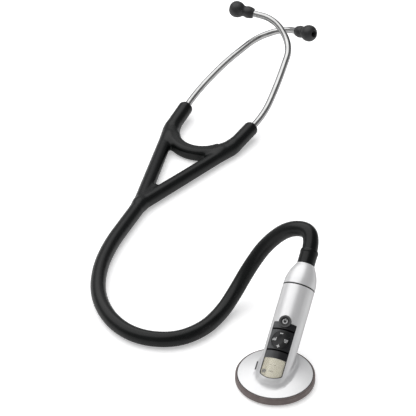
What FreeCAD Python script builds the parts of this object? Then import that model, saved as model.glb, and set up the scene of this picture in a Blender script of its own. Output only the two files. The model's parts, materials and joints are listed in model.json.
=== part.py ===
import FreeCAD, Part
import math
import os

from FreeCAD import Placement, Rotation, Vector

# An electronic stethoscope lying on a table, in millimetres.
# Row frame: origin at the centre of the diaphragm's face, +Z up away from that face, and +Y level
# along the handle towards the hose. The chestpiece is symmetric about X = 0.

# Chestpiece head, on the Z axis
RIM_R = 25.5
FACE_R = 23.9
SKIRT_R = 23.4
FACE_EDGE_Z = 6.0
FACE_TOP_Z = 9.2
SKIRT_BOTTOM_Z = 2.8
DIAPHRAGM_R = 22.6

# Handle: a slanted round bar that holds an AA cell; t is the distance along its axis
HANDLE_TILT = 33.0
HANDLE_ROOT_Z = 9.3
HANDLE_R = 10.5
HANDLE_WALL = 1.35
NOSE_T = -14.8
HOUSING_END_T = 54.9
CAP_START_T = 55.9
CAP_END_T = 71.7
COLLAR_END_T = 82.2
HOSE_START_T = 77.5
FAIRING_R = 4.0

# Control panel in the front of the handle
WINDOW_HALF = 7.5
WINDOW_BOTTOM_T = -9.5
WINDOW_BOW_R = 10.5
LCD_MARGIN = 0.45
LCD_TOP_T = 4.2
PANEL_TOP_T = 28.5
GROOVE_TS = (9.6, 23.8)
PAD_T = 16.6
PAD_R = 5.85
POWER_T = 29.0
POWER_BEZEL_R = 4.0
POWER_BUTTON_R = 2.95
BOARD_FRONT_Y = -7.6

# Battery
CELL_R = 7.25
CELL_LENGTH = 50.5
CELL_START_T = 6.2
CELL_BACK_SHIFT = 1.0

# Hose
HOSE_R = 5.1
TABLE_CLEAR = 5.1
ROUND_SHARE = 0.45

# Headset: x runs from the hose's end to the ear tips, y to the left, z up
HEADSET_AT = Vector(-146.6, 133.6, 5.2)
HEADSET_TURN = 81.4
STEM_START = Vector(0.5, -1.1, 0)
STEM_R = 5.0
CROTCH = Vector(7.0, -0.3, 0)
CROTCH_R = 5.1
ARM_R = 4.75
CROTCH_WEB_END = Vector(28.0, 0, 0)
CROTCH_WEB_R = 3.8
BALL_R = 5.2
PIVOT_U = 96.5
PIVOT_V = 25.1
CROSSBAR_R = 5.0
CROSSBAR_U = 79.3
CROSSBAR_ARC_R = 21.0
CROSSBAR_HALF_TURN = 60.0
SLEEVE_LENGTH = 28.8
SLEEVE_END_R = 5.4
EAR_TUBE_R = 2.38
EAR_TUBE_BORE_R = 1.7
EARTIP_R = 6.15
RUNNING_GAP = 0.1

HOSE_ROUTE = [
    (0.0, 65.0, 51.51),
    (0.0, 73.22, 56.85),
    (-5.0, 81.5, 61.2),
    (-20.2, 85.0, 55.6),
    (-34.2, 83.0, 40.5),
    (-43.2, 76.0, 24.0),
    (-48.7, 62.5, 11.0),
    (-52.3, 47.5, TABLE_CLEAR),
    (-58.0, 26.0, TABLE_CLEAR),
    (-72.5, 9.5, TABLE_CLEAR),
    (-96.0, 5.0, TABLE_CLEAR),
    (-118.0, 15.0, TABLE_CLEAR),
    (-135.5, 36.0, TABLE_CLEAR),
    (-145.0, 62.5, TABLE_CLEAR),
    (-148.0, 90.0, TABLE_CLEAR),
    (-146.5, 118.0, TABLE_CLEAR),
    (-145.5, 133.4, TABLE_CLEAR),
]

# Ear tube routes in the headset's frame; y is counted outwards from the middle on either side
LEFT_TUBE_ROUTE = [
    (PIVOT_U, PIVOT_V, 0.0),
    (140.5, 27.0, 6.5),
    (170.5, 20.5, 16.0),
    (205.5, 11.0, 22.5),
    (224.5, -2.5, 24.0),
    (215.5, -28.0, 32.5),
]
RIGHT_TUBE_ROUTE = [
    (PIVOT_U, PIVOT_V, 0.0),
    (140.0, 29.5, 5.0),
    (170.0, 25.5, 14.0),
    (201.5, 20.0, 26.5),
    (212.0, 2.0, 39.0),
    (206.0, -27.5, 42.5),
]

HANDLE = Placement(Vector(0, 0, HANDLE_ROOT_Z), Rotation(Vector(1, 0, 0), HANDLE_TILT - 90))
HEADSET = Placement(HEADSET_AT, Rotation(Vector(0, 0, 1), HEADSET_TURN))
UP = Vector(0, 0, 1)


# ---------------------------------------------------------------- shared helpers

def placed(shape, placement):
    """A copy of a shape, moved from a local frame into the row frame."""
    moved = shape.copy()
    moved.Placement = placement.multiply(moved.Placement)
    return moved


def outline_face(steps):
    """A closed flat face in XZ: a pair is a corner, four numbers are an arc's middle and end."""
    here = Vector(steps[0][0], 0, steps[0][1])
    edges = []
    for step in steps[1:] + steps[:1]:
        end = Vector(step[-2], 0, step[-1])
        if len(step) == 4:
            edges.append(Part.Arc(here, Vector(step[0], 0, step[1]), end).toShape())
        else:
            edges.append(Part.LineSegment(here, end).toShape())
        here = end
    return Part.Face(Part.Wire(edges))


def turned(steps):
    """A solid turned about Z from an outline of (radius, height) steps."""
    return outline_face(steps).revolve(Vector(0, 0, 0), UP, 360)


def ring(inner, outer, low, high):
    """A plain ring about Z."""
    return turned([(inner, low), (outer, low), (outer, high), (inner, high)])


def disc(radius, low, high, at=(0, 0)):
    """A round plate or post along Z."""
    return Part.makeCylinder(radius, high - low, Vector(at[0], at[1], low), UP)


def block(x_range, y_range, z_range):
    """A box between the given limits."""
    size = [high - low for low, high in (x_range, y_range, z_range)]
    return Part.makeBox(size[0], size[1], size[2], Vector(x_range[0], y_range[0], z_range[0]))


def front_post(radius, t, outer_y, inner_y, x=0.0):
    """A round post across the handle, from its front towards its axis."""
    return Part.makeCylinder(radius, inner_y - outer_y, Vector(x, outer_y, t), Vector(0, 1, 0))


def facing(origin, direction):
    """The placement that carries Z onto a direction at a point."""
    return Placement(origin, Rotation(UP, direction))


def rounded_path(points, label):
    """A wire of straight runs and tangent arcs, each arc as large as its two runs allow."""
    corners = [Vector(*p) for p in points]
    edges = []
    radii = []
    length = 0.0
    here = corners[0]
    for before, corner, after in zip(corners, corners[1:], corners[2:]):
        back = (before - corner).normalize()
        ahead = (after - corner).normalize()
        reach = ROUND_SHARE * min((before - corner).Length, (after - corner).Length)
        turn = math.pi - back.getAngle(ahead)
        radius = reach / math.tan(turn / 2)
        start = corner + back * reach
        end = corner + ahead * reach
        inward = (back + ahead).normalize()
        middle = corner + inward * (math.hypot(radius, reach) - radius)
        edges.append(Part.LineSegment(here, start).toShape())
        edges.append(Part.Arc(start, middle, end).toShape())
        length += (start - here).Length + radius * turn
        radii.append(round(radius, 1))
        here = end
    edges.append(Part.LineSegment(here, corners[-1]).toShape())
    length += (corners[-1] - here).Length
    print(label, "length", round(length, 1), "bend radii", radii)
    return Part.Wire(edges), length


def swept_rod(wire, radius):
    """A round rod along a wire."""
    first = wire.Edges[0]
    start = first.valueAt(first.FirstParameter)
    direction = first.tangentAt(first.FirstParameter)
    section = Part.Wire([Part.makeCircle(radius, start, direction)])
    return wire.makePipeShell([section], True, False)


def report_volume(label, solid, radius, length):
    """Compares a rod's volume with its section times its length."""
    expected = math.pi * radius ** 2 * length
    print(label, "volume", round(solid.Volume), "section x length", round(expected))


# ---------------------------------------------------------------- chestpiece head

def diaphragm():
    return turned([(0, 0), (20.2, 0), (21.0, 1.0), (DIAPHRAGM_R, 1.0), (DIAPHRAGM_R, 1.4),
                   (20.8, 1.4), (20.0, 0.4), (0, 0.4)])


def diaphragm_rim():
    wall = DIAPHRAGM_R + RUNNING_GAP
    seat = SKIRT_R + RUNNING_GAP
    return turned([(21.3, 0.45), (24.3, 0.45), (25.2, 1.0, RIM_R, 2.2), (RIM_R - 0.1, 4.3),
                   (25.25, 5.35, 24.8, 5.75), (24.4, 5.75), (24.4, 5.2), (seat, 5.2), (seat, 2.7),
                   (wall, 2.7), (wall, 0.95), (21.3, 0.95)])


def cover_gasket():
    return ring(SKIRT_R + RUNNING_GAP, 24.35, 5.22, 5.58)


BOSS_RING_R = 19.0
BOSS_ANGLES = (90, 210, 330)


def boss_places():
    """Where the three base screws stand."""
    turns = [math.radians(a) for a in BOSS_ANGLES]
    return [(BOSS_RING_R * math.cos(a), BOSS_RING_R * math.sin(a)) for a in turns]


def base_plate():
    plate = turned([(0, 2.0), (9.2, 2.0), (9.2, 1.45), (DIAPHRAGM_R, 1.45), (DIAPHRAGM_R, 2.75),
                    (10.2, 2.75), (10.2, 3.3), (0, 3.3)])
    for place in boss_places():
        plate = plate.cut(disc(1.5, 1.4, 2.32, place)).cut(disc(0.7, 1.4, 3.0, place))
    return plate


def base_screws():
    screws = []
    for place in boss_places():
        head = disc(1.4, 1.5, 2.3, place)
        slot = block((place[0] - 1.0, place[0] + 1.0), (place[1] - 0.2, place[1] + 0.2), (1.4, 1.8))
        screws.append(head.fuse(disc(0.6, 2.3, 5.4, place)).cut(slot))
    return Part.makeCompound(screws)


def piezo_sensor():
    return disc(8.5, 0.5, 1.0)


def sensor_cushion():
    return ring(5.5, 8.9, 1.02, 1.98)


def ambient_microphone():
    return disc(2.0, 2.85, 5.4, PORT_AT)


# ---------------------------------------------------------------- housing

def handle_form(radius):
    """The handle's round bar with its rounded nose, in the handle's frame."""
    nose = NOSE_T + (HANDLE_R - radius)
    return turned([(0, nose), (radius - 4.1, nose), (radius - 1.15, nose + 2.3, radius, nose + 6.3),
                   (radius, HOUSING_END_T), (0, HOUSING_END_T)])


def front_block(margin, high_t):
    """A block through the front wall with a bowed lower end, smaller than the window by a margin."""
    half_width = WINDOW_HALF - margin
    low_t = WINDOW_BOTTOM_T + margin
    bow_r = WINDOW_BOW_R - margin
    body = block((-half_width, half_width), (-12, -4.5), (low_t, high_t))
    upper = block((-12, 12), (-12, -4.5), (low_t + bow_r, high_t + 1))
    body = body.common(front_post(bow_r, low_t + bow_r, -12, -4.5).fuse(upper))
    low_edges = [e for e in body.Edges if e.BoundBox.YLength > 5 and e.BoundBox.ZMax < -4]
    corners = [e for e in low_edges if abs(e.BoundBox.XMin) > half_width - 0.1]
    return body.makeFillet(1.6, corners)


def wall_patch(outer_r, inner_r, cutter):
    """A piece of curved wall that follows the handle's front."""
    inner = handle_form(inner_r)
    return handle_form(outer_r).cut(inner).common(cutter)


def head_dome():
    return turned([(0, SKIRT_BOTTOM_Z), (SKIRT_R, SKIRT_BOTTOM_Z), (SKIRT_R, 5.6), (FACE_R, 5.6),
                   (FACE_R, FACE_EDGE_Z), (12.4, 8.3, 0, FACE_TOP_Z)])


def head_hollow():
    return turned([(0, 2.0), (21.9, 2.0), (21.9, 4.6), (12.0, 6.75, 0, 7.7)])


def housing_skin():
    """The outside of the head's dome and the handle, with a fairing where they meet."""
    above = block((-40, 40), (-60, 120), (SKIRT_BOTTOM_Z, 120))
    handle = placed(handle_form(HANDLE_R), HANDLE).common(above)
    joined = head_dome().fuse(handle)
    dome = head_dome()
    meeting = [e for e in joined.Edges if is_on_both(e, dome, handle)]
    return joined.makeFillet(FAIRING_R, meeting)


def is_on_both(edge, first, second):
    """True for an edge that lies on the surfaces of two solids, above the head's rim."""
    middle = Part.Vertex(edge.valueAt((edge.FirstParameter + edge.LastParameter) / 2))
    near_first = first.Shells[0].distToShape(middle)[0] < 0.01
    near_second = second.Shells[0].distToShape(middle)[0] < 0.01
    return near_first and near_second and middle.Z > FACE_EDGE_Z


PORT_AT = (-12.8, 0.75)
PORT_TURN = 8.2
PORT_HALF_WIDTH = 0.5
PORT_HALF_LENGTH = 4.4


def port_slot(margin, z_range):
    """The narrow slot beside the handle's foot, and with a margin the grille that fills it."""
    across = PORT_HALF_WIDTH - margin
    along = PORT_HALF_LENGTH - margin
    slot = block((-across, across), (-along, along), z_range)
    return placed(slot, Placement(Vector(PORT_AT[0], PORT_AT[1], 0), Rotation(UP, PORT_TURN)))


def chest_housing():
    hollow = head_hollow().fuse(placed(handle_form(HANDLE_R - HANDLE_WALL), HANDLE))
    end_bore = placed(disc(HANDLE_R - HANDLE_WALL, 50, 60), HANDLE)
    shell = housing_skin().cut(hollow).cut(end_bore)
    for place in boss_places():
        shell = shell.fuse(disc(2.0, SKIRT_BOTTOM_Z, 6.4, place))
        shell = shell.cut(disc(0.65, SKIRT_BOTTOM_Z - 1, 5.5, place))
    window = front_block(0, PANEL_TOP_T + 0.1)
    power_hole = front_post(POWER_BEZEL_R + 0.05, POWER_T, -13, -5)
    release_hole = front_post(3.1, RELEASE_T, 5, 13)
    for opening in (window, power_hole, release_hole):
        shell = shell.cut(placed(opening, HANDLE))
    return shell.cut(port_slot(0, (6.0, 12.0)))


def noise_port():
    """The grille over the microphone."""
    return port_slot(0.03, (6.9, 7.75))


# ---------------------------------------------------------------- control panel

def lcd_lens():
    return wall_patch(10.34, 10.0, front_block(LCD_MARGIN, LCD_TOP_T))


def lcd_display():
    return wall_patch(9.96, 9.3, front_block(LCD_MARGIN + 0.1, LCD_TOP_T - 0.1))


def lcd_gasket():
    outer = front_block(0.03, LCD_TOP_T)
    inner = front_block(LCD_MARGIN - 0.03, LCD_TOP_T + 1)
    return wall_patch(10.42, 9.3, outer.cut(inner))


def control_panel():
    cutter = block((-WINDOW_HALF + 0.08, WINDOW_HALF - 0.08), (-12, -4.5),
                   (LCD_TOP_T + 0.05, PANEL_TOP_T))
    panel = wall_patch(10.2, 9.25, cutter)
    panel = panel.cut(front_post(PAD_R + 0.2, PAD_T, -13, -4))
    panel = panel.cut(front_post(POWER_BEZEL_R + 0.05, POWER_T, -13, -4))
    for groove_t in GROOVE_TS:
        panel = panel.cut(ring(9.7, 11.0, groove_t - 0.25, groove_t + 0.25))
    return panel


def power_bezel():
    outer = front_post(POWER_BEZEL_R, POWER_T, -11.1, -9.3)
    return outer.cut(front_post(POWER_BUTTON_R + 0.1, POWER_T, -12, -9))


def power_button():
    cap = front_post(POWER_BUTTON_R, POWER_T, -11.0, -9.3)
    dish = Part.makeSphere(12.0, Vector(0, -22.7, POWER_T))
    return cap.cut(dish).fuse(front_post(1.2, POWER_T, -9.4, -8.45))


PIP_REACH = 3.4


def pip_places():
    """The four press points of the pad, as (x, t)."""
    steps = ((0, 1), (1, 0), (0, -1), (-1, 0))
    return [(PIP_REACH * x, PAD_T + PIP_REACH * t) for x, t in steps]


def nav_pad():
    pad = wall_patch(10.4, 9.3, front_post(PAD_R, PAD_T, -13, -4))
    dish = Part.makeSphere(16.0, Vector(0, -26.05, PAD_T))
    pad = pad.cut(dish)
    for x, t in pip_places():
        pad = pad.fuse(front_post(0.7, t, -9.4, -8.35, x))
    return pad


def pad_pivot():
    return front_post(0.9, PAD_T, -9.22, -7.75)


def circuit_board():
    board = block((-4.7, 4.7), (BOARD_FRONT_Y, BOARD_FRONT_Y + 1.0), (-5, 50))
    for t in (42.0, 0.5):
        board = board.cut(front_post(0.75, t, -9, -5))
    return board


def board_screws():
    screws = [front_post(1.2, t, -8.3, -7.62).fuse(front_post(0.65, t, -7.7, -6.6))
              for t in (42.0, 0.5)]
    return Part.makeCompound(screws)


def board_chips():
    chips = [block((-2.4, 2.4), (-8.45, -7.62), (33.5, 38.5)),
             block((-1.6, 1.6), (-8.35, -7.62), (45.0, 48.0)),
             block((-2.0, 2.0), (-8.4, -7.62), (5.5, 9.5))]
    return Part.makeCompound(chips)


def switch_domes():
    places = pip_places() + [(0, POWER_T)]
    return Part.makeCompound([front_post(0.9, t, -7.9, -7.62, x) for x, t in places])


RELEASE_T = 49.0


def release_button():
    button = front_post(3.0, RELEASE_T, 9.35, 11.1)
    for step in (-1.2, 0, 1.2):
        rib = block((-3.2, 3.2), (10.85, 11.3), (RELEASE_T + step - 0.2, RELEASE_T + step + 0.2))
        button = button.cut(rib)
    return button


# ---------------------------------------------------------------- battery cap and what it carries

def end_cap():
    return turned([(HANDLE_R, CAP_START_T), (9.5, 63.9, 6.35, 70.9), (6.2, 71.5, 5.8, CAP_END_T),
                   (2.95, CAP_END_T), (2.95, 69.8), (4.9, 69.8), (8.1, 64.5, 9.05, 58.6),
                   (9.05, CAP_START_T)])


def cap_seal():
    return ring(9.1, HANDLE_R - 0.3, HOUSING_END_T + 0.05, CAP_START_T - 0.02)


def cell_tube(radius, low_t, high_t):
    """A round bar on the battery's axis, which sits behind the handle's own."""
    return disc(radius, low_t, high_t, (0, CELL_BACK_SHIFT))


def battery_carrier():
    trough = cell_tube(8.05, 4.2, 58.2).common(block((-12, 12), (3.0, 12), (0, 80)))
    low_wall = cell_tube(8.05, 4.2, 4.9).common(block((-12, 12), (-6.3, 12), (0, 80)))
    high_wall = cell_tube(7.6, 57.4, 58.2)
    collar = disc(HANDLE_R - HANDLE_WALL - RUNNING_GAP, 53.2, CAP_START_T)
    carrier = trough.fuse([low_wall, high_wall, collar])
    carrier = carrier.cut(cell_tube(CELL_R + 0.05, 4.9, 57.4))
    notch = block((-3.5, 3.5), (6, 12), (45.2, 52.8))
    return carrier.cut(notch)


def battery():
    end = CELL_START_T + CELL_LENGTH
    return turned([(0, CELL_START_T), (6.6, CELL_START_T), (CELL_R, CELL_START_T + 0.6),
                   (CELL_R, end - 2.0), (6.6, end - 1.3), (2.75, end - 1.3), (2.75, end), (0, end)])


def negative_contact():
    return turned([(2.6, 4.95), (3.6, 4.95), (2.6, 6.15), (1.6, 6.15)])


def positive_contact():
    return ring(0.8, 3.6, 56.75, 57.35)


def speaker():
    return turned([(0, 60.3), (6.5, 60.3), (6.5, 63.6), (5.0, 64.6), (0, 64.6)])


def speaker_gasket():
    return ring(5.2, 7.2, 59.4, 60.25)


def hose_barb():
    tip = HOSE_START_T - 0.2
    return turned([(1.6, 65.0), (5.0, 65.0), (5.0, 66.0), (2.85, 66.0), (2.85, tip), (1.6, tip)])


def strain_relief():
    bore = HOSE_R + RUNNING_GAP
    low = CAP_END_T + 0.05
    seat = HOSE_START_T - 0.1
    return turned([(2.95, low), (5.75, low), (5.8, 79.5), (5.95, 80.9, 5.5, COLLAR_END_T),
                   (bore, COLLAR_END_T), (bore, seat), (2.95, seat)])


# ---------------------------------------------------------------- hose and headset

def hose():
    wire, length = rounded_path(HOSE_ROUTE, "hose")
    solid = swept_rod(wire, HOSE_R)
    report_volume("hose", solid, HOSE_R, length)
    return solid


def limb(radius, start, end):
    """One round limb between two points."""
    return Part.makeCylinder(radius, (end - start).Length, start, end - start)


def crossbar_point(turn):
    """A point of the crossbar's bowed centre line, a number of degrees from its middle."""
    a = math.radians(turn)
    arc_centre = Vector(CROSSBAR_U + CROSSBAR_ARC_R, 0, 0)
    return arc_centre + Vector(-math.cos(a), math.sin(a), 0) * CROSSBAR_ARC_R


def crossbar():
    """The bowed bar between the two arms, with ball ends."""
    ends = [crossbar_point(-CROSSBAR_HALF_TURN), crossbar_point(CROSSBAR_HALF_TURN)]
    wire = Part.Wire([Part.Arc(ends[0], crossbar_point(0), ends[1]).toShape()])
    bar = swept_rod(wire, CROSSBAR_R)
    for end in ends:
        bar = bar.fuse(Part.makeSphere(CROSSBAR_R, end))
    return bar


def leaf_spring():
    """The flat steel spring bedded in the crossbar."""
    centre = Vector(CROSSBAR_U + CROSSBAR_ARC_R, 0, -3.0)
    outer = Part.makeCylinder(CROSSBAR_ARC_R + 0.35, 6.0, centre)
    inner = Part.makeCylinder(CROSSBAR_ARC_R - 0.35, 6.0, centre)
    return outer.cut(inner).common(block((70, 88), (-18.5, 18.5), (-4, 4)))


def pivot_point(side):
    """Where a sleeve's ball sits in its arm."""
    return Vector(PIVOT_U, side * PIVOT_V, 0)


def yoke():
    body = limb(STEM_R, STEM_START, CROTCH).fuse(Part.makeSphere(CROTCH_R, CROTCH))
    body = body.fuse(limb(CROTCH_WEB_R, CROTCH, CROTCH_WEB_END))
    body = body.fuse(Part.makeSphere(CROTCH_WEB_R, CROTCH_WEB_END))
    for side in (-1, 1):
        body = body.fuse(limb(ARM_R, CROTCH, pivot_point(side)))
    body = body.fuse(crossbar())
    for side in (-1, 1):
        body = body.cut(Part.makeSphere(BALL_R + RUNNING_GAP, pivot_point(side)))
    return body.cut(leaf_spring()).removeSplitter()


def side_points(route, side):
    """A tube's route on its own side of the headset."""
    return [(u, side * v, w) for u, v, w in route]


def sleeve(route, side):
    """The rubber arm end that swings about the pivot and grips the ear tube."""
    points = [Vector(*p) for p in side_points(route, side)]
    axis = facing(points[0], points[1] - points[0])
    cone = turned([(0, 0), (BALL_R, 0), (SLEEVE_END_R, 22.0), (SLEEVE_END_R - 0.4, 27.2, 3.0, SLEEVE_LENGTH),
                   (0, SLEEVE_LENGTH)])
    body = placed(cone, axis).fuse(Part.makeSphere(BALL_R, points[0]))
    bore = placed(disc(EAR_TUBE_R + 0.05, 5.5, SLEEVE_LENGTH + 2), axis)
    return body.cut(bore)


TUBE_START = 5.6
TUBE_END_GAP = 6.0
BARREL_LENGTH = 6.9


def tube_ends(route, side):
    """The tube's trimmed route, its last point and the direction it leaves in."""
    points = [Vector(*p) for p in side_points(route, side)]
    first = (points[1] - points[0]).normalize()
    last = (points[-1] - points[-2]).normalize()
    centre = points[-1]
    trimmed = [points[0] + first * TUBE_START] + points[1:-1] + [centre - last * TUBE_END_GAP]
    return trimmed, centre, last


def ear_tube(route, side, label):
    trimmed, _, _ = tube_ends(route, side)
    wire, length = rounded_path([tuple(p) for p in trimmed], label)
    solid = swept_rod(wire, EAR_TUBE_R)
    report_volume(label, solid, EAR_TUBE_R, length)
    return solid.cut(swept_rod(wire, EAR_TUBE_BORE_R))


def tip_barrel(route, side):
    """The threaded barrel on the tube's end, under the ear tip."""
    _, centre, last = tube_ends(route, side)
    barrel = ring(EAR_TUBE_R + 0.02, 3.0, -TUBE_END_GAP - BARREL_LENGTH, -TUBE_END_GAP)
    return placed(barrel, facing(centre, last))


def eartip(route, side):
    """The soft ear tip, with its sound hole and the socket that takes the barrel."""
    _, centre, last = tube_ends(route, side)
    tip = turned([(1.6, -5.8), (1.6, 3.4), (2.2, 5.2), (2.45, 5.55, 2.8, 5.45),
                  (5.1, 3.6, EARTIP_R, 0.2), (5.55, -2.8, 4.3, -4.7), (4.0, -5.6, 4.1, -6.6),
                  (4.5, -9.4, 3.95, -12.0), (3.7, -12.75, 3.3, -13.0), (3.1, -13.0), (3.1, -5.8)])
    return placed(tip, facing(centre, last))


# ---------------------------------------------------------------- all nodes

ROW_NODES = {
    "diaphragm": diaphragm,
    "diaphragm_rim": diaphragm_rim,
    "cover_gasket": cover_gasket,
    "base_plate": base_plate,
    "base_screws": base_screws,
    "piezo_sensor": piezo_sensor,
    "sensor_cushion": sensor_cushion,
    "ambient_microphone": ambient_microphone,
    "chest_housing": chest_housing,
    "noise_port": noise_port,
    "hose": hose,
}
HANDLE_NODES = {
    "lcd_lens": lcd_lens,
    "lcd_display": lcd_display,
    "lcd_gasket": lcd_gasket,
    "control_panel": control_panel,
    "power_bezel": power_bezel,
    "power_button": power_button,
    "nav_pad": nav_pad,
    "pad_pivot": pad_pivot,
    "circuit_board": circuit_board,
    "board_screws": board_screws,
    "board_chips": board_chips,
    "switch_domes": switch_domes,
    "release_button": release_button,
    "end_cap": end_cap,
    "cap_seal": cap_seal,
    "battery_carrier": battery_carrier,
    "speaker": speaker,
    "speaker_gasket": speaker_gasket,
    "hose_barb": hose_barb,
    "strain_relief": strain_relief,
}
CELL_NODES = {
    "battery": battery,
    "negative_contact": negative_contact,
    "positive_contact": positive_contact,
}
CELL = HANDLE.multiply(Placement(Vector(0, CELL_BACK_SHIFT, 0), Rotation()))


def all_nodes():
    shapes = {name: make() for name, make in ROW_NODES.items()}
    for name, make in HANDLE_NODES.items():
        shapes[name] = placed(make(), HANDLE)
    for name, make in CELL_NODES.items():
        shapes[name] = placed(make(), CELL)
    shapes["yoke"] = placed(yoke(), HEADSET)
    shapes["leaf_spring"] = placed(leaf_spring(), HEADSET)
    for word, side, route in (("left", 1, LEFT_TUBE_ROUTE), ("right", -1, RIGHT_TUBE_ROUTE)):
        shapes[word + "_sleeve"] = placed(sleeve(route, side), HEADSET)
        shapes[word + "_ear_tube"] = placed(ear_tube(route, side, word + " ear tube"), HEADSET)
        shapes[word + "_tip_barrel"] = placed(tip_barrel(route, side), HEADSET)
        shapes[word + "_eartip"] = placed(eartip(route, side), HEADSET)
    return shapes


def main():
    os.makedirs("parts", exist_ok=True)
    for name, shape in all_nodes().items():
        shape.exportStep("parts/" + name + ".step")


main()
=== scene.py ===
"""An electronic stethoscope lying on a pale table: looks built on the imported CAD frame, in metres."""

import json
import math

import bmesh
import bpy
import numpy as np
from mathutils import Matrix, Vector


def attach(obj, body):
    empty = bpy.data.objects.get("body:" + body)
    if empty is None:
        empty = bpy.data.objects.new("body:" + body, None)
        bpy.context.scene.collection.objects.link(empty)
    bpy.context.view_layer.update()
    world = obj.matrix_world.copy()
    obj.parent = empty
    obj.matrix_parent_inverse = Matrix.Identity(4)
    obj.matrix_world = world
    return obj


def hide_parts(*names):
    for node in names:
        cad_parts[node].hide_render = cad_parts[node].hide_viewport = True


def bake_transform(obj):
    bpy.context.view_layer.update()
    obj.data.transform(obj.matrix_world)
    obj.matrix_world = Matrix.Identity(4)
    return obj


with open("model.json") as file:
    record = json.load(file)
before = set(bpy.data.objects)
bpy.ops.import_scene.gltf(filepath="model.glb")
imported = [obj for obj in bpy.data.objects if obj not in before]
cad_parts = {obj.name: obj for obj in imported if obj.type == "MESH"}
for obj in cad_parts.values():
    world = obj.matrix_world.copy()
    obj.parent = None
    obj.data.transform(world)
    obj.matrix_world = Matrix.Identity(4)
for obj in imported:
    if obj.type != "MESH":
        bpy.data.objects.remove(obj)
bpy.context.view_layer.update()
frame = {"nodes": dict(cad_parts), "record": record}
NODES = frame["nodes"]
ROOT = "chestpiece_and_yoke"
MM = 0.001

# Handle frame: t runs along the axis from its root, x across, depth towards the back
HANDLE_TILT = math.radians(33.0)
HANDLE_ROOT = Vector((0, 0, 9.3 * MM))
ALONG = Vector((0, math.cos(HANDLE_TILT), math.sin(HANDLE_TILT)))
BACKWARD = Vector((0, math.sin(HANDLE_TILT), -math.cos(HANDLE_TILT)))
PAD_T = 16.6
GROOVE_TS = (9.6, 23.8)
POWER_T = 29.0

# Headset frame: u runs from the hose's end to the ear tips, v to the left, w up
HEADSET_ROOT = (-0.1466, 0.1336, 0.0052)
HEADSET_TURN = math.radians(81.4)
HEADSET = Matrix.Translation(HEADSET_ROOT) @ Matrix.Rotation(HEADSET_TURN, 4, "Z")
PIVOT_U = 96.5
PIVOT_V = 25.1

HOSE_RADIUS = 5.1 * MM
FLOOR_CLEAR = 0.0051
HOSE_ROUTE = [
    (0.0, 0.065, 0.05151),
    (0.0, 0.07322, 0.05685),
    (-0.005, 0.0815, 0.0612),
    (-0.0202, 0.085, 0.0556),
    (-0.0342, 0.083, 0.0405),
    (-0.0432, 0.076, 0.024),
    (-0.0487, 0.0625, 0.011),
    (-0.0523, 0.0475, FLOOR_CLEAR),
    (-0.058, 0.026, FLOOR_CLEAR),
    (-0.0725, 0.0095, FLOOR_CLEAR),
    (-0.096, 0.005, FLOOR_CLEAR),
    (-0.118, 0.015, FLOOR_CLEAR),
    (-0.1355, 0.036, FLOOR_CLEAR),
    (-0.145, 0.0625, FLOOR_CLEAR),
    (-0.148, 0.09, FLOOR_CLEAR),
    (-0.1465, 0.118, FLOOR_CLEAR),
    (-0.1455, 0.1334, FLOOR_CLEAR),
]


def handle_point(x, depth, t):
    """A point of the handle's frame, in millimetres, as a place in the row frame."""
    return HANDLE_ROOT + Vector((x * MM, 0, 0)) + BACKWARD * (depth * MM) + ALONG * (t * MM)


# ---------------------------------------------------------------- camera

CAMERA_PLACE = (0.34057, -1.08940, 0.98215)
CAMERA_DOWN = 36.559
CAMERA_TURN = 19.5
CAMERA_LENS = 204.4


def make_camera():
    """A long lens that looks down on the whole instrument; its angles are in degrees."""
    data = bpy.data.cameras.new("Camera")
    data.sensor_width = 36.0
    data.lens = CAMERA_LENS
    data.clip_start = 0.01
    data.clip_end = 50.0
    camera = bpy.data.objects.new("Camera", data)
    camera.location = CAMERA_PLACE
    camera.rotation_euler = (math.radians(90 - CAMERA_DOWN), 0, math.radians(CAMERA_TURN))
    bpy.context.scene.collection.objects.link(camera)
    bpy.context.scene.camera = camera


# ---------------------------------------------------------------- material helpers

def new_material(name):
    """A node material, its Principled shader and its node tree."""
    material = bpy.data.materials.new(name)
    material.use_nodes = True
    return material, material.node_tree.nodes["Principled BSDF"], material.node_tree


def place_coordinates(tree):
    """Object coordinates, which are row-frame metres for every piece."""
    return tree.nodes.new("ShaderNodeTexCoord").outputs["Object"]


def noise(tree, scale, detail=4.0, roughness=0.55, vector=None):
    """A noise texture's value, with its scale per metre."""
    node = tree.nodes.new("ShaderNodeTexNoise")
    node.inputs["Scale"].default_value = scale
    node.inputs["Detail"].default_value = detail
    node.inputs["Roughness"].default_value = roughness
    tree.links.new(vector or place_coordinates(tree), node.inputs["Vector"])
    return node.outputs["Fac"]


def spread(tree, value, low, high, low_at=0.3, high_at=0.7):
    """Maps a value from one range onto another."""
    node = tree.nodes.new("ShaderNodeMapRange")
    node.inputs["From Min"].default_value = low_at
    node.inputs["From Max"].default_value = high_at
    node.inputs["To Min"].default_value = low
    node.inputs["To Max"].default_value = high
    tree.links.new(value, node.inputs["Value"])
    return node.outputs["Result"]


def add_piece(name, mesh, material):
    """Links a new mesh piece with the material it is given."""
    piece = bpy.data.objects.new(name, mesh)
    bpy.context.scene.collection.objects.link(piece)
    piece.data.materials.append(material)
    return piece


# ---------------------------------------------------------------- hose

def route_curve(bevel):
    """The hose's route as a smooth spline with the route's points as its control points."""
    curve = bpy.data.curves.new("hose_route", "CURVE")
    curve.dimensions = "3D"
    curve.resolution_u = 24
    curve.bevel_depth = bevel
    curve.bevel_resolution = 14
    curve.use_fill_caps = bevel > 0
    spline = curve.splines.new("NURBS")
    spline.points.add(len(HOSE_ROUTE) - 1)
    for point, place in zip(spline.points, HOSE_ROUTE):
        point.co = (*place, 1.0)
    spline.order_u = 3
    spline.use_endpoint_u = True
    return bpy.data.objects.new("hose_route", curve)


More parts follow.
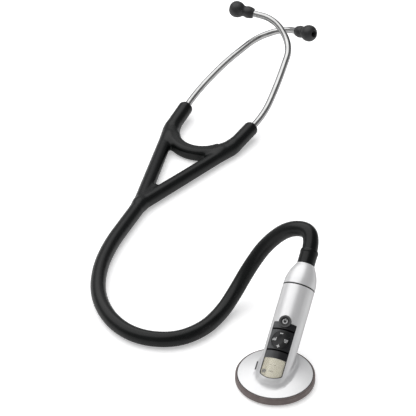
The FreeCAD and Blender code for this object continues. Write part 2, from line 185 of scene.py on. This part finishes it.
def make_hose(material):
    """The hose, a round tube swept along the route, in place of the CAD hose."""
    path = [tuple(v.co) for v in bpy.data.meshes.new_from_object(route_curve(0.0)).vertices]
    mesh = bpy.data.meshes.new_from_object(route_curve(HOSE_RADIUS))
    mesh.shade_smooth()
    mesh.materials.clear()
    hose = add_piece("hose_tube", mesh, material)
    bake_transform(hose)
    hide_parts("hose")


# ---------------------------------------------------------------- yoke and sleeves

# Millimetres in the headset frame
STEM_START = (-1.5, -1.25, 0)
STEM_R = 5.1
CROTCH = (7.0, -0.3, 0)
CROTCH_WEB_END = (28.0, 0, 0)
CROTCH_WEB_R = 3.8
ARM_R = 4.75
BALL_R = 5.2
KNEE_SHARE = 0.85
BALL_TAPER = 8
BAR_U = 79.3
BAR_ARC_R = 21.0
BAR_HALF_ANGLE = math.radians(60.0)
BAR_HALF = 4.85
BAR_CORNER_R = 3.2
SLEEVE_LENGTH = 28.8
SLEEVE_R = 5.35
SLEEVE_CORNER_R = 3.2
SLEEVE_AIMS = {1: (140.5, 27.0, 6.5), -1: (140.0, -29.5, 5.0)}
BAR_ROOT = (100.0, 24.2, 0)
BAR_ROOT_R = 3.6
STEM_FILLET = 2.4
WEB_FILLET = 1.2
BAR_FILLET = 4.5
ARM_FILLET = 2.6
ARM_FILLET_GROWS_OVER = 12.0
CREASE = 0.01
ROOT_CREASE = 0.1
GRADIENT_STEP = 0.02
SETTLING_STEPS = 8
YOKE_VOXEL = 0.7 * MM


def bar_point(angle):
    """A point on the crossbar's bowed centre line."""
    return (BAR_U + BAR_ARC_R * (1 - math.cos(angle)), BAR_ARC_R * math.sin(angle), 0)


def limb_distance(points, start, end, start_r, end_r):
    """Distance to a round limb that tapers between two points."""
    a, b = np.array(start, float), np.array(end, float)
    along = b - a
    share = np.clip((points - a) @ along / (along @ along), 0, 1)
    axis = a + share[:, None] * along
    return np.linalg.norm(points - axis, axis=1) - (start_r + (end_r - start_r) * share)


def bar_distance(points):
    """Distance to the bowed crossbar, whose section is a square with round corners."""
    from_centre = points[:, :2] - (BAR_U + BAR_ARC_R, 0)
    radial = np.linalg.norm(from_centre, axis=1) - BAR_ARC_R
    angle = np.arctan2(from_centre[:, 1], -from_centre[:, 0])
    along = (np.abs(angle) - BAR_HALF_ANGLE) * BAR_ARC_R
    inner = BAR_HALF - BAR_CORNER_R
    beyond = np.stack([np.abs(radial) - inner, np.abs(points[:, 2]) - inner, along], axis=1)
    outside = np.linalg.norm(np.maximum(beyond, 0), axis=1)
    return outside + np.minimum(beyond.max(axis=1), 0) - BAR_CORNER_R


def soft_union(first, second, fillet):
    """Joins two distances with a fillet."""
    near = np.maximum(fillet - np.abs(first - second), 0) / fillet
    return np.minimum(first, second) - near * near * fillet / 4


def pivot_point(side):
    """Where one arm's sleeve turns."""
    return np.array((PIVOT_U, side * PIVOT_V, 0))


def sleeve_direction(side):
    """The way a sleeve points from its pivot."""
    line = SLEEVE_AIMS[side] - pivot_point(side)
    return line / np.linalg.norm(line)


def sleeve_distance(points, side):
    """Distance to a sleeve, a round bar whose far end has a rounded edge."""
    along = (points - pivot_point(side)) @ sleeve_direction(side)
    axis = pivot_point(side) + along[:, None] * sleeve_direction(side)
    radial = np.linalg.norm(points - axis, axis=1)
    past_end = np.abs(along - SLEEVE_LENGTH / 2) - SLEEVE_LENGTH / 2
    beyond = np.stack([radial - SLEEVE_R, past_end], axis=1) + SLEEVE_CORNER_R
    outside = np.linalg.norm(np.maximum(beyond, 0), axis=1)
    return outside + np.minimum(beyond.max(axis=1), 0) - SLEEVE_CORNER_R


def side_distance(points, side):
    """Distance to one arm and its sleeve, which share a ball joint."""
    pivot = pivot_point(side)
    knee = CROTCH + KNEE_SHARE * (pivot - CROTCH)
    sleeve_root = pivot + BALL_TAPER * sleeve_direction(side)
    limbs = [
        limb_distance(points, CROTCH, knee, STEM_R, ARM_R),
        limb_distance(points, knee, pivot, ARM_R, BALL_R),
        limb_distance(points, pivot, sleeve_root, BALL_R, SLEEVE_R),
        sleeve_distance(points, side),
    ]
    return np.min(limbs, axis=0)


def yoke_distance(points):
    """Distance to the moulded rubber: stem, arms, web between them, crossbar and sleeves."""
    opened = np.clip((points[:, 0] - CROTCH[0]) / ARM_FILLET_GROWS_OVER, 0, 1)
    arms_fillet = CREASE + ARM_FILLET * opened
    body = soft_union(side_distance(points, 1), side_distance(points, -1), arms_fillet)
    stem = limb_distance(points, STEM_START, CROTCH, STEM_R, STEM_R)
    body = soft_union(body, stem, STEM_FILLET)
    web = limb_distance(points, CROTCH, CROTCH_WEB_END, CROTCH_WEB_R, CROTCH_WEB_R)
    body = soft_union(body, web, WEB_FILLET)
    bar = bar_distance(points)
    for side in (1, -1):
        end = bar_point(side * BAR_HALF_ANGLE)
        root = (BAR_ROOT[0], side * BAR_ROOT[1], BAR_ROOT[2])
        bar = soft_union(bar, limb_distance(points, end, root, BAR_HALF, BAR_ROOT_R), ROOT_CREASE)
    body = soft_union(body, bar, BAR_FILLET)
    return np.maximum(body, -points[:, 2] - BALL_R)


def yoke_normals(points):
    """The distance's gradient, which is the outward direction."""
    slopes = []
    for axis in np.eye(3) * GRADIENT_STEP:
        slopes.append(yoke_distance(points + axis) - yoke_distance(points - axis))
    slope = np.stack(slopes, axis=1)
    return slope / np.maximum(np.linalg.norm(slope, axis=1)[:, None], 1e-9)


def rough_limb(mesh, start, end, radius):
    """Adds a plain closed tube with ball ends to a bmesh, in millimetres."""
    a, b = Vector(start), Vector(end)
    turn = (b - a).to_track_quat("Z", "Y").to_matrix().to_4x4()
    middle = Matrix.Translation((a + b) / 2)
    bmesh.ops.create_cone(mesh, cap_ends=True, segments=24, radius1=radius, radius2=radius,
                          depth=(b - a).length, matrix=middle @ turn)
    for end_point in (a, b):
        bmesh.ops.create_icosphere(mesh, subdivisions=3, radius=radius,
                                   matrix=Matrix.Translation(end_point))


def rough_yoke():
    """The rubber's plain limbs, merged into one skin of small squares."""
    mesh = bmesh.new()
    rough_limb(mesh, STEM_START, CROTCH, STEM_R)
    rough_limb(mesh, CROTCH, CROTCH_WEB_END, CROTCH_WEB_R)
    for side in (1, -1):
        rough_limb(mesh, CROTCH, pivot_point(side), BALL_R)
        end = pivot_point(side) + (SLEEVE_LENGTH - SLEEVE_R) * sleeve_direction(side)
        rough_limb(mesh, pivot_point(side), end, SLEEVE_R)
        for i in range(4):
            turns = [side * BAR_HALF_ANGLE * (i + k) / 4 for k in (0, 1)]
            rough_limb(mesh, bar_point(turns[0]), bar_point(turns[1]), BAR_HALF)
    for vertex in mesh.verts:
        vertex.co *= MM
    data = bpy.data.meshes.new("yoke_rubber")
    mesh.to_mesh(data)
    mesh.free()
    rough = bpy.data.objects.new("yoke_rubber", data)
    bpy.context.scene.collection.objects.link(rough)
    remesh = rough.modifiers.new("skin", "REMESH")
    remesh.mode = "VOXEL"
    remesh.voxel_size = YOKE_VOXEL
    depsgraph = bpy.context.evaluated_depsgraph_get()
    skin = bpy.data.meshes.new_from_object(rough.evaluated_get(depsgraph))
    bpy.data.objects.remove(rough)
    return skin


def settled(points):
    """Moves points, in millimetres, onto the rubber's real surface."""
    for _ in range(SETTLING_STEPS):
        points = points - yoke_normals(points) * yoke_distance(points)[:, None]
    return points


def mesh_points(mesh):
    """A mesh's points in millimetres."""
    flat = np.zeros(len(mesh.vertices) * 3, np.float32)
    mesh.vertices.foreach_get("co", flat)
    return flat.reshape(-1, 3).astype(float) / MM


def yoke_half(skin, side):
    """One half of the rubber, cut along the middle, in the row frame."""
    cut = bmesh.new()
    cut.from_mesh(skin)
    bmesh.ops.bisect_plane(cut, geom=cut.verts[:] + cut.edges[:] + cut.faces[:], dist=1e-6,
                           plane_co=(0, 0, 0), plane_no=(0, -side, 0), clear_outer=True)
    half = bpy.data.meshes.new("yoke_half")
    cut.to_mesh(half)
    cut.free()
    normals = yoke_normals(mesh_points(half)) @ np.array(HEADSET.to_3x3()).T
    half.transform(HEADSET)
    half.shade_smooth()
    half.normals_split_custom_set_from_vertices(normals.tolist())
    return half


def make_yoke(material):
    """The yoke and sleeves as one rubber skin, cut into two halves along its middle, in place of the
    CAD yoke and sleeves.
    """
    skin = rough_yoke()
    points = settled(mesh_points(skin)) * MM
    skin.vertices.foreach_set("co", points.astype(np.float32).ravel())
    for word, side in (("left", 1), ("right", -1)):
        half = add_piece(word + "_yoke_rubber", yoke_half(skin, side), material)
        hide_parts("yoke", word + "_sleeve")
        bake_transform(half)


# ---------------------------------------------------------------- printed marks on the panel

# Millimetres in the handle frame
LCD_R = 9.975
PAD_CYLINDER_R = 10.4
PAD_DISH_R = 16.0
PAD_DISH_CENTRE = -26.05
BUTTON_DISH_R = 12.0
BUTTON_DISH_CENTRE = -22.7
MARK_LIFT = 0.02


def lcd_depth(x, t):
    """The depth of the display's face, which is the same all along t."""
    return -math.sqrt(LCD_R ** 2 - x * x)


def pad_depth(x, t):
    """A depth just above the dished face of the pad."""
    dish = PAD_DISH_CENTRE + math.sqrt(PAD_DISH_R ** 2 - x * x - (t - PAD_T) ** 2)
    return max(-math.sqrt(PAD_CYLINDER_R ** 2 - x * x), dish) - MARK_LIFT


def button_depth(x, t):
    """A depth just above the dished face of the power button."""
    dish = BUTTON_DISH_CENTRE + math.sqrt(BUTTON_DISH_R ** 2 - x * x - (t - POWER_T) ** 2)
    return dish - MARK_LIFT


def add_patch(mesh, depth, corners):
    """Adds one face whose corners, as (x, t), lie on a curved front."""
    mesh.faces.new([mesh.verts.new(handle_point(x, depth(x, t), t)) for x, t in corners])


def add_bar(mesh, depth, x, t, width, height):
    """Adds an upright rectangle, in strips so that it follows the curve."""
    strips = max(1, math.ceil(width / 0.5))
    step = width / strips
    for i in range(strips):
        left = x - width / 2 + i * step
        right = left + step
        low, high = t - height / 2, t + height / 2
        add_patch(mesh, depth, [(left, low), (right, low), (right, high), (left, high)])


def add_arc(mesh, depth, x, t, inner, outer, start, end, steps=28):
    """Adds a flat ring, or part of one, between two angles in degrees."""
    for i in range(steps):
        turns = [math.radians(start + (end - start) * (i + k) / steps) for k in (0, 1)]
        polar = ((inner, turns[0]), (outer, turns[0]), (outer, turns[1]), (inner, turns[1]))
        add_patch(mesh, depth, [(x + r * math.cos(a), t + r * math.sin(a)) for r, a in polar])


def finish_marks(name, mesh, material, body):
    """Turns a bmesh of marks into a piece that rides on its body."""
    bmesh.ops.remove_doubles(mesh, verts=mesh.verts, dist=1e-6)
    bmesh.ops.recalc_face_normals(mesh, faces=mesh.faces)
    data = bpy.data.meshes.new(name)
    mesh.to_mesh(data)
    mesh.free()
    piece = add_piece(name, data, material)
    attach(piece, body)


def make_lcd_marks(material, faint):
    """A battery sign, a level bar and a row of dashes, as on a generic display."""
    dark = bmesh.new()
    for t in (-5.9, -4.0):
        add_bar(dark, lcd_depth, -4.9, t, 2.7, 0.45)
    for x in (-6.05, -3.75):
        add_bar(dark, lcd_depth, x, -4.95, 0.4, 1.6)
    add_bar(dark, lcd_depth, -3.35, -4.95, 0.4, 0.8)
    for i in range(3):
        add_bar(dark, lcd_depth, -5.5 + 0.6 * i, -4.95, 0.52, 1.3)
    finish_marks("lcd_battery_sign", dark, material, ROOT)
    light = bmesh.new()
    for i in range(5):
        add_bar(light, lcd_depth, -1.4 + 0.6 * i, -4.7, 0.42, 0.8)
    for x in (-1.3, 1.5):
        add_bar(light, lcd_depth, x, -0.4, 1.2, 0.35)
    finish_marks("lcd_segments", light, faint, ROOT)


def make_key_marks(material):
    """A power sign, and on the pad a minus, a plus, sound bars and a filter sign."""
    power = bmesh.new()
    add_arc(power, button_depth, 0, POWER_T, 1.1, 1.62, 120, 420)
    add_bar(power, button_depth, 0, POWER_T + 1.25, 0.4, 1.3)
    finish_marks("power_sign", power, material, "power_key")
    pad = bmesh.new()
    add_bar(pad, pad_depth, 0, PAD_T + 4.3, 1.9, 0.6)
    add_bar(pad, pad_depth, 0, PAD_T - 4.3, 1.9, 0.6)
    for t in (-3.65, -4.95):
        add_bar(pad, pad_depth, 0, PAD_T + t, 0.6, 0.7)
    for i, height in enumerate((1.0, 1.6, 1.3, 2.1)):
        add_bar(pad, pad_depth, -4.75 + 0.68 * i, PAD_T - 0.9 + height / 2, 0.46, height)
    for i, width in enumerate((2.5, 2.2, 1.5)):
        add_bar(pad, pad_depth, 3.8, PAD_T + 0.8 - 0.8 * i, width, 0.48)
    finish_marks("pad_signs", pad, material, "menu_pad")


# ---------------------------------------------------------------- materials

def plug(tree, socket, value):
    """Connects a socket, or sets a number or colour."""
    if isinstance(value, bpy.types.NodeSocket):
        tree.links.new(value, socket)
    elif isinstance(value, tuple):
        socket.default_value = (*value, 1.0)
    else:
        socket.default_value = value


def mix(tree, factor, first, second):
    """Mixes two colours, each a socket or three numbers, by a factor."""
    node = tree.nodes.new("ShaderNodeMix")
    node.data_type = "RGBA"
    plug(tree, node.inputs[0], factor)
    plug(tree, node.inputs[6], first)
    plug(tree, node.inputs[7], second)
    return node.outputs[2]


def add_bump(tree, shader, height, distance, strength=1.0):
    """Raises the surface by a height in metres."""
    node = tree.nodes.new("ShaderNodeBump")
    node.inputs["Distance"].default_value = distance
    node.inputs["Strength"].default_value = strength
    tree.links.new(height, node.inputs["Height"])
    tree.links.new(node.outputs["Normal"], shader.inputs["Normal"])


def soft_edges(material, level, edge_level):
    """Lowers the gloss where the surface turns away, as on a fine matte skin."""
    tree = material.node_tree
    facing = tree.nodes.new("ShaderNodeLayerWeight").outputs["Facing"]
    level_now = spread(tree, facing, level, edge_level, 0.35, 0.9)
    plug(tree, tree.nodes["Principled BSDF"].inputs["Specular IOR Level"], level_now)
    return material


def finish_material(name, first, second, rough, grain, depth, metallic=0.0, patch=120.0, **inputs):
    """A material with two close colours, uneven roughness and a fine grain.

    The grain and the patches of colour are scales per metre, and depth is in metres.
    """
    material, shader, tree = new_material(name)
    patches = noise(tree, patch)
    plug(tree, shader.inputs["Base Color"], mix(tree, spread(tree, patches, 0, 1), first, second))
    fine = noise(tree, grain, detail=3.0)
    plug(tree, shader.inputs["Roughness"], spread(tree, fine, rough[0], rough[1]))
    add_bump(tree, shader, fine, depth)
    shader.inputs["Metallic"].default_value = metallic
    for socket, value in inputs.items():
        plug(tree, shader.inputs[socket.replace("_", " ")], value)
    return material


def silver_housing():
    """Pale satin silver paint with fine flake and a faint orange peel."""
    material = finish_material("silver_housing", (0.64, 0.64, 0.643), (0.68, 0.68, 0.68),
                               (0.30, 0.38), 9000, 2e-6, metallic=0.4, patch=60,
                               Specular_Tint=(0.05, 0.05, 0.052))
    return soft_edges(material, 0.3, 0.0)


def rim_rubber():
    """Matte taupe rubber of the non-chill rim, a little worn and dusty."""
    return finish_material("rim_rubber", (0.115, 0.092, 0.088), (0.150, 0.122, 0.116),
                           (0.48, 0.68), 5200, 1.2e-5, patch=260, Specular_IOR_Level=0.35)


def hose_rubber():
    """Black moulded rubber with a soft gloss and a fine pebble."""
    material = finish_material("hose_rubber", (0.0022, 0.0026, 0.0026), (0.0046, 0.0054, 0.0053),
                               (0.24, 0.32), 4200, 9e-6, patch=85)
    return soft_edges(material, 0.2, 0.0)


def eartip_rubber():
    """Soft matte charcoal silicone."""
    material = finish_material("eartip_rubber", (0.006, 0.006, 0.0065), (0.014, 0.014, 0.015),
                               (0.40, 0.55), 3600, 1.0e-5, patch=300)
    return soft_edges(material, 0.45, 0.05)


def black_rubber():
    """Plain black rubber of the seals and the collar."""
    return finish_material("black_rubber", (0.010, 0.010, 0.010), (0.018, 0.018, 0.018),
                           (0.45, 0.6), 6000, 6e-6)


def black_plastic():
    """Black moulded plastic with a fine spark-eroded grain."""
    return finish_material("black_plastic", (0.014, 0.014, 0.015), (0.022, 0.022, 0.023),
                           (0.30, 0.42), 11000, 4e-6, patch=400)


def panel_black():
    """The panel's satin film, with painted light making it greyer down its left side, and painted shade
    making the grooves across it black.
    """
    material, shader, tree = new_material("panel_black")
    axes = tree.nodes.new("ShaderNodeSeparateXYZ")
    tree.links.new(place_coordinates(tree), axes.inputs[0])
    # Painted light: the panel turns lighter grey towards its left side, standing in for the light
    # falling from the left.
    painted_left_light = spread(tree, axes.outputs["X"], 1, 0, -0.0074, -0.0005)
    base = mix(tree, painted_left_light, (0.010, 0.010, 0.011), (0.10, 0.102, 0.105))
    mottle = spread(tree, noise(tree, 320), 0.0, 0.15)
    base = mix(tree, mottle, base, (0.03, 0.031, 0.032))
    level = (0.3, 0.3, 0.3)
    # Painted shade: inside the grooves the colour goes to near black and the gloss to none, standing in
    # for the shade in the recess.
    for groove_t in GROOVE_TS:
        mask = groove_shade_mask(tree, groove_t)
        base = mix(tree, mask, base, (0.001, 0.001, 0.001))
        level = mix(tree, mask, level, (0.0, 0.0, 0.0))
    plug(tree, shader.inputs["Specular IOR Level"], level)
    plug(tree, shader.inputs["Base Color"], base)
    fine = noise(tree, 8000, detail=3.0)
    plug(tree, shader.inputs["Roughness"], spread(tree, fine, 0.26, 0.36))
    add_bump(tree, shader, fine, 3e-6)
    return material


def groove_shade_mask(tree, groove_t):
    """One inside a groove across the handle, where the painted shade goes, and zero elsewhere."""
    middle = handle_point(0, 0, groove_t)
    offset = tree.nodes.new("ShaderNodeVectorMath")
    offset.operation = "SUBTRACT"
    tree.links.new(place_coordinates(tree), offset.inputs[0])
    offset.inputs[1].default_value = middle
    along = tree.nodes.new("ShaderNodeVectorMath")
    along.operation = "DOT_PRODUCT"
    tree.links.new(offset.outputs["Vector"], along.inputs[0])
    along.inputs[1].default_value = ALONG
    size = tree.nodes.new("ShaderNodeMath")
    size.operation = "ABSOLUTE"
    tree.links.new(along.outputs["Value"], size.inputs[0])
    return spread(tree, size.outputs[0], 1, 0, 0.45 * MM, 0.6 * MM)


def key_black():
    """Black of the power button and the pad, a little darker than the panel."""
    return finish_material("key_black", (0.005, 0.005, 0.0055), (0.009, 0.009, 0.0095),
                           (0.36, 0.44), 9000, 3e-6, patch=500, Specular_IOR_Level=0.28)


def key_marks():
    """Grey print of the signs on the keys."""
    return finish_material("key_marks", (0.42, 0.42, 0.42), (0.50, 0.50, 0.50),
                           (0.4, 0.5), 12000, 1e-6)


def steel(name, first, second, rough, stretch):
    """Polished or brushed steel with fine draw lines along one axis."""
    material, shader, tree = new_material(name)
    mapping = tree.nodes.new("ShaderNodeMapping")
    mapping.inputs["Scale"].default_value = stretch
    tree.links.new(place_coordinates(tree), mapping.inputs["Vector"])
    lines = noise(tree, 1.0, detail=2.0, vector=mapping.outputs["Vector"])
    patches = noise(tree, 150)
    plug(tree, shader.inputs["Base Color"], mix(tree, spread(tree, patches, 0, 1), first, second))
    plug(tree, shader.inputs["Roughness"], spread(tree, lines, rough[0], rough[1]))
    add_bump(tree, shader, lines, 6e-7)
    shader.inputs["Metallic"].default_value = 1.0
    plug(tree, shader.inputs["Specular Tint"], (0.35, 0.35, 0.36))
    return material


def ear_tube_steel():
    """Polished steel with draw lines roughly along the ear tubes."""
    return steel("ear_tube_steel", (0.34, 0.34, 0.337), (0.40, 0.40, 0.395),
                 (0.13, 0.21), (9000, 900, 9000))


def plain_steel():
    """Plain brushed steel."""
    return steel("steel", (0.48, 0.48, 0.48), (0.56, 0.56, 0.56),
                 (0.2, 0.34), (2500, 12000, 2500))


def aluminium():
    """Brushed aluminium."""
    return steel("aluminium", (0.62, 0.62, 0.63), (0.70, 0.70, 0.71),
                 (0.28, 0.4), (700, 15000, 700))


def brass():
    """Brushed brass."""
    return steel("brass", (0.62, 0.44, 0.18), (0.70, 0.52, 0.24),
                 (0.22, 0.32), (3000, 9000, 3000))


def foam():
    """Dark foam."""
    return finish_material("foam", (0.05, 0.05, 0.05), (0.09, 0.09, 0.09),
                           (0.8, 0.95), 2600, 5e-5, patch=1500)


def diaphragm_film():
    """Pale glass-fibre film with a faint weave."""
    material, shader, tree = new_material("diaphragm_film")
    weave = []
    for axis in ("X", "Y"):
        wave = tree.nodes.new("ShaderNodeTexWave")
        wave.bands_direction = axis
        wave.inputs["Scale"].default_value = 420.0
        tree.links.new(place_coordinates(tree), wave.inputs["Vector"])
        weave.append(wave.outputs["Fac"])
    joined = tree.nodes.new("ShaderNodeMath")
    joined.operation = "MAXIMUM"
    tree.links.new(weave[0], joined.inputs[0])
    tree.links.new(weave[1], joined.inputs[1])
    base = mix(tree, joined.outputs[0], (0.50, 0.50, 0.46), (0.66, 0.66, 0.62))
    plug(tree, shader.inputs["Base Color"], base)
    plug(tree, shader.inputs["Roughness"], spread(tree, noise(tree, 900), 0.3, 0.45))
    add_bump(tree, shader, joined.outputs[0], 8e-6)
    return material


def lcd_cream():
    """The display's cream reflector: a faint pixel grid, and a painted shadow darkening its left side.
    """
    material, shader, tree = new_material("lcd_cream")
    axes = tree.nodes.new("ShaderNodeSeparateXYZ")
    tree.links.new(place_coordinates(tree), axes.inputs[0])
    # Painted shadow: the cream turns darker towards the display's left side.
    shade = spread(tree, axes.outputs["X"], 0, 1, -0.0036, -0.0022)
    base = mix(tree, shade, (0.40, 0.365, 0.26), (0.56, 0.525, 0.40))
    grid = tree.nodes.new("ShaderNodeTexChecker")
    grid.inputs["Scale"].default_value = 4200.0
    tree.links.new(place_coordinates(tree), grid.inputs["Vector"])
    lighter = mix(tree, 0.12, base, (0.72, 0.70, 0.58))
    plug(tree, shader.inputs["Base Color"], mix(tree, grid.outputs["Fac"], base, lighter))
    plug(tree, shader.inputs["Roughness"], spread(tree, noise(tree, 2500), 0.4, 0.55))
    return material


def lcd_ink():
    """The display's dark segments."""
    return finish_material("lcd_ink", (0.035, 0.032, 0.026), (0.06, 0.055, 0.045),
                           (0.4, 0.5), 4000, 1e-6)


def lcd_faint():
    """The display's segments that are off, seen faintly."""
    return finish_material("lcd_faint", (0.27, 0.255, 0.20), (0.33, 0.31, 0.245),
                           (0.4, 0.5), 4000, 1e-6)


def clear_lens():
    """The thin clear cover of the display."""
    return finish_material("clear_lens", (0.92, 0.92, 0.90), (0.95, 0.95, 0.93),
                           (0.05, 0.09), 3000, 1e-6, Alpha=0.07, Specular_IOR_Level=0.2)


def board_green():
    """Green solder mask with copper tracks showing through it."""
    material, shader, tree = new_material("board_green")
    tracks = tree.nodes.new("ShaderNodeTexBrick")
    tracks.inputs["Scale"].default_value = 420.0
    tracks.inputs["Mortar Size"].default_value = 0.06
    plug(tree, tracks.inputs["Color1"], (0.012, 0.10, 0.035))
    plug(tree, tracks.inputs["Color2"], (0.015, 0.12, 0.045))
    plug(tree, tracks.inputs["Mortar"], (0.05, 0.22, 0.09))
    tree.links.new(place_coordinates(tree), tracks.inputs["Vector"])
    plug(tree, shader.inputs["Base Color"], tracks.outputs["Color"])
    plug(tree, shader.inputs["Roughness"], spread(tree, noise(tree, 3000), 0.2, 0.35))
    return material


def cell_jacket():
    """The cell's printed film: a slate body with a pale band near its positive end."""
    material, shader, tree = new_material("cell_jacket")
    axes = tree.nodes.new("ShaderNodeSeparateXYZ")
    tree.links.new(place_coordinates(tree), axes.inputs[0])
    pale = spread(tree, axes.outputs["Z"], 0, 1, 0.0340, 0.0342)
    plug(tree, shader.inputs["Base Color"], mix(tree, pale, (0.05, 0.07, 0.10), (0.55, 0.56, 0.58)))
    plug(tree, shader.inputs["Roughness"], spread(tree, noise(tree, 1800), 0.18, 0.3))
    add_bump(tree, shader, noise(tree, 1400), 4e-6)
    shader.inputs["Metallic"].default_value = 0.4
    return material


SLOT_MATERIALS = {
    "silver_housing": silver_housing,
    "rim_rubber": rim_rubber,
    "diaphragm_film": diaphragm_film,
    "black_rubber": black_rubber,
    "hose_rubber": hose_rubber,
    "eartip_rubber": eartip_rubber,
    "black_plastic": black_plastic,
    "panel_black": panel_black,
    "key_black": key_black,
    "key_marks": key_marks,
    "lcd_cream": lcd_cream,
    "clear_lens": clear_lens,
    "ear_tube_steel": ear_tube_steel,
    "steel": plain_steel,
    "aluminium": aluminium,
    "brass": brass,
    "foam": foam,
    "board_green": board_green,
    "cell_jacket": cell_jacket,
}


def paint_nodes(materials):
    """Gives every CAD node the material of its slot in the record."""
    for part in frame["record"]["subparts"]:
        data = NODES[part["node"]].data
        data.materials.clear()
        data.materials.append(materials[part["material_slot"]])


# ---------------------------------------------------------------- table and light

TABLE_HALF = 3.0
TABLE_TOP = -0.0002


def make_floor():
    """A wide matte white table, which glows a little so that its shadows stay pale."""
    mesh = bpy.data.meshes.new("table")
    corners = ((-1, -1), (1, -1), (1, 1), (-1, 1))
    mesh.from_pydata([(x * TABLE_HALF, y * TABLE_HALF, TABLE_TOP) for x, y in corners],
                     [], [(0, 1, 2, 3)])
    table = bpy.data.objects.new("table", mesh)
    bpy.context.scene.collection.objects.link(table)
    cloth = finish_material("table", (0.86, 0.86, 0.86), (0.88, 0.88, 0.88), (0.6, 0.7), 300, 1e-5,
                            patch=3.0, Specular_IOR_Level=0.1, Emission_Color=(1.0, 1.0, 1.0),
                            Emission_Strength=0.38)
    table.data.materials.append(cloth)


def area_light(name, place, target, size, power):
    """Adds a round lamp that points at a target."""
    data = bpy.data.lights.new(name, "AREA")
    data.shape = "DISK"
    data.size = size
    data.energy = power
    light = bpy.data.objects.new(name, data)
    light.location = place
    light.rotation_euler = (Vector(target) - Vector(place)).to_track_quat("-Z", "Y").to_euler()
    bpy.context.scene.collection.objects.link(light)


def make_light():
    """A pale studio: bright at the back and left, dim at the right and front, with one wide lamp."""
    world = bpy.data.worlds.new("studio")
    world.use_nodes = True
    bpy.context.scene.world = world
    tree = world.node_tree
    background = tree.nodes["Background"]
    axes = tree.nodes.new("ShaderNodeSeparateXYZ")
    tree.links.new(tree.nodes.new("ShaderNodeTexCoord").outputs["Generated"], axes.inputs[0])
    x, y, z = (axes.outputs[name] for name in "XYZ")
    sky = mix(tree, spread(tree, z, 0, 1, 0.30, 0.62), (0.55, 0.55, 0.56), (1.0, 1.0, 1.01))
    for axis, start, end, colour in ((x, 0.10, 0.28, (0.26, 0.26, 0.265)),
                                     (x, 0.90, 0.97, (0.9, 0.9, 0.9)),
                                     (y, -0.35, -0.6, (0.42, 0.42, 0.425))):
        sky = mix(tree, spread(tree, axis, 0, 1, start, end), sky, colour)
    plug(tree, background.inputs["Color"], sky)
    background.inputs["Strength"].default_value = 1.0
    area_light("key", (-0.55, 0.35, 1.25), (-0.06, 0.12, 0), 2.2, 16.0)
    bpy.context.scene.view_settings.view_transform = "Standard"


def main():
    """Builds the pieces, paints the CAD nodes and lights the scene."""
    make_camera()
    materials = {slot: make() for slot, make in SLOT_MATERIALS.items()}
    make_hose(materials["hose_rubber"])
    make_yoke(materials["hose_rubber"])
    make_lcd_marks(lcd_ink(), lcd_faint())
    make_key_marks(materials["key_marks"])
    paint_nodes(materials)
    make_floor()
    make_light()


main()
